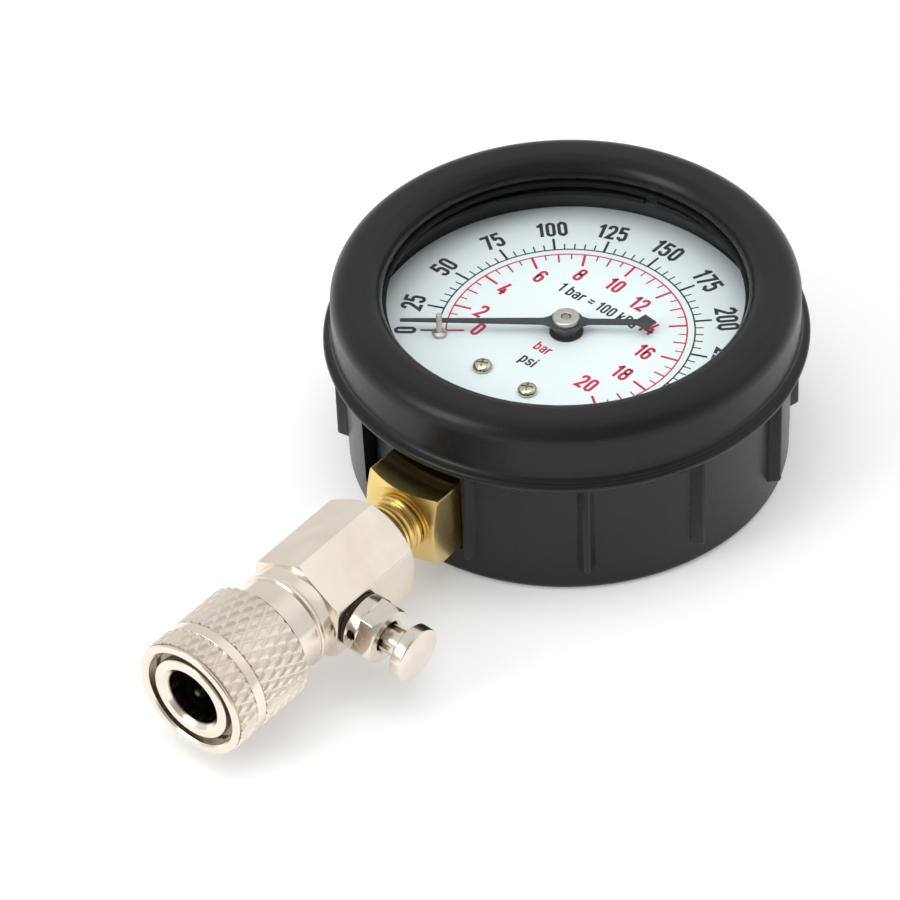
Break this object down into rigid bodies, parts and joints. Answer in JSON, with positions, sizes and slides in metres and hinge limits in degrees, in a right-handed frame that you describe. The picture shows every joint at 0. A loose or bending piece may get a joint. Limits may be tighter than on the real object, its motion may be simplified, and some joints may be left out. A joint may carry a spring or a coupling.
{
  "type": "compression tester gauge",
  "caption": "Round dial pressure gauge lying in a ribbed rubber boot, with a square brass socket, hexagon adapter, push-button bleed valve and quick coupler.",
  "frame": {"origin": "centre of the rubber boot's flat back face, which the gauge lies on", "axes": "+Z out of the dial, +Y towards the top of the case, so the socket and coupler point along -Y"},
  "size_m": [0.08, 0.1348, 0.0355],
  "materials": {
    "black_paint": "semi-gloss black paint",
    "black_rubber": "satin black rubber",
    "brass": "turned bright brass",
    "bronze": "drawn bronze",
    "clear_window": "clear",
    "dial_white": "white enamel",
    "fibre": "red-brown fibre",
    "grey_paint": "dark grey paint",
    "nickel": "satin nickel plate",
    "steel": "plain steel"
  },
  "bodies": {
    "frame": {"adapter_body": "nickel", "bezel_ring": "black_paint", "bourdon_tube": "bronze", "case_screw_1": "steel", "case_screw_2": "steel", "coupler_body": "nickel", "dial_plate": "dial_white", "dial_post_left": "brass", "dial_post_right": "brass", "dial_screw_left": "steel", "dial_screw_right": "steel", "gauge_case": "grey_paint", "hairspring": "bronze", "hairspring_stud": "brass", "locking_ball_1": "steel", "locking_ball_2": "steel", "locking_ball_3": "steel", "locking_ball_4": "steel", "locking_ball_5": "steel", "locking_ball_6": "steel", "movement_back_plate": "brass", "movement_front_plate": "brass", "movement_pillar_1": "brass", "movement_pillar_2": "brass", "movement_screw_1": "steel", "movement_screw_2": "steel", "plate_screw_1": "steel", "plate_screw_2": "steel", "plug_seal": "black_rubber", "relief_plug": "black_rubber", "retaining_ring": "steel", "rubber_boot": "black_rubber", "seal_washer": "fibre", "sleeve_spring": "steel", "socket_block": "brass", "stop_pin": "nickel", "valve_body": "nickel", "valve_o_ring": "black_rubber", "valve_spring": "steel", "window": "clear_window", "window_ring": "black_rubber"},
    "sector_set": {"sector_gear": "brass", "sector_shaft": "steel", "link_pin": "steel"},
    "pointer_set": {"pinion_shaft": "steel", "hairspring_collet": "brass", "pointer_boss": "black_paint", "pointer": "black_paint", "pointer_bush": "nickel"},
    "link_set": {"link": "brass"},
    "tip_set": {"tube_tip": "brass", "tip_pin": "steel"},
    "button_set": {"valve_button": "nickel", "valve_seal": "black_rubber"},
    "sleeve_set": {"coupler_sleeve": "nickel"}
  },
  "joints": [
    {"name": "sector_turn", "type": "hinge", "parent": "frame", "child": "sector_set", "pos_m": [0.00828, -0.01598, 0.0136], "axis": [0, 0, 1], "range_deg": [0, 29.17], "stiffness_Nm_per_rad": 0.01, "springref_deg": -2.86, "deforming": ["bourdon_tube"]},
    {"name": "pointer_turn", "type": "hinge", "parent": "frame", "child": "pointer_set", "pos_m": [0, 0, 0.0136], "axis": [0, 0, -1], "range_deg": [0, 262.67], "deforming": ["hairspring"]},
    {"name": "link_turn", "type": "hinge", "parent": "sector_set", "child": "link_set", "pos_m": [0.01215, -0.02057, 0.01462], "axis": [0, 0, 1], "range_deg": [-29.19, 0]},
    {"name": "tip_travel", "type": "slide", "parent": "frame", "child": "tip_set", "axis": [0.5779, 0.8161, 0], "range_m": [0, 0.00303]},
    {"name": "button_press", "type": "slide", "parent": "frame", "child": "button_set", "axis": [-0.9945, 0, 0.1045], "range_m": [0, 0.0022], "stiffness_N_per_m": 600, "springref_m": -0.002, "deforming": ["valve_spring"]},
    {"name": "sleeve_slide", "type": "slide", "parent": "frame", "child": "sleeve_set", "axis": [0, 1, 0], "range_m": [0, 0.0035], "stiffness_N_per_m": 2000, "springref_m": -0.004, "deforming": ["sleeve_spring"]}
  ],
  "couplings": [
    {"joint": "pointer_turn", "follows": "sector_turn", "ratio": 9},
    {"joint": "link_turn", "follows": "sector_turn", "ratio": -1},
    {"joint": "tip_travel", "follows": "sector_turn", "m_per_rad": 0.0059354}
  ]
}
